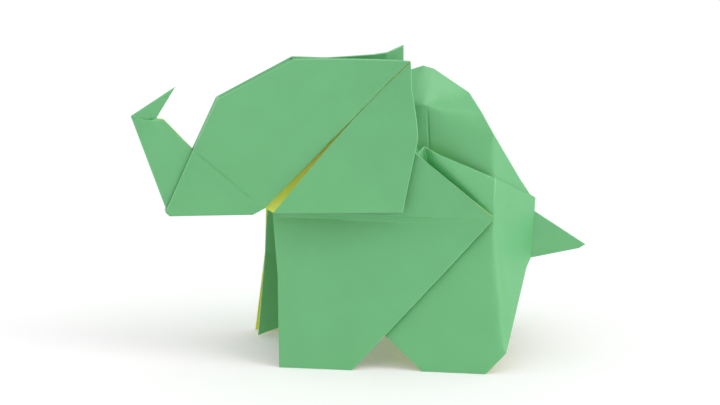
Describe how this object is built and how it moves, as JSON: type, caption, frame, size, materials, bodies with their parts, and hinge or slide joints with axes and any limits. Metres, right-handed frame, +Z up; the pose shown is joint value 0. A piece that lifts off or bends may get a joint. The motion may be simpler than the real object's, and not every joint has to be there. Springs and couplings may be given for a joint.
{
  "type": "origami elephant",
  "caption": "Elephant folded from one square of two-colour paper, with a raised trunk, broad ears, a ridged back, a pointed tail and splayed legs it stands on.",
  "frame": {"origin": "on the table, centred under the box around the elephant", "axes": "+X from the trunk to the tail, +Y to the elephant's right side, +Z up"},
  "size_m": [0.1136, 0.0584, 0.0745],
  "materials": {
    "paper": "matte"
  },
  "bodies": {
    "root": {"folded_sheet": "paper"}
  },
  "joints": []
}
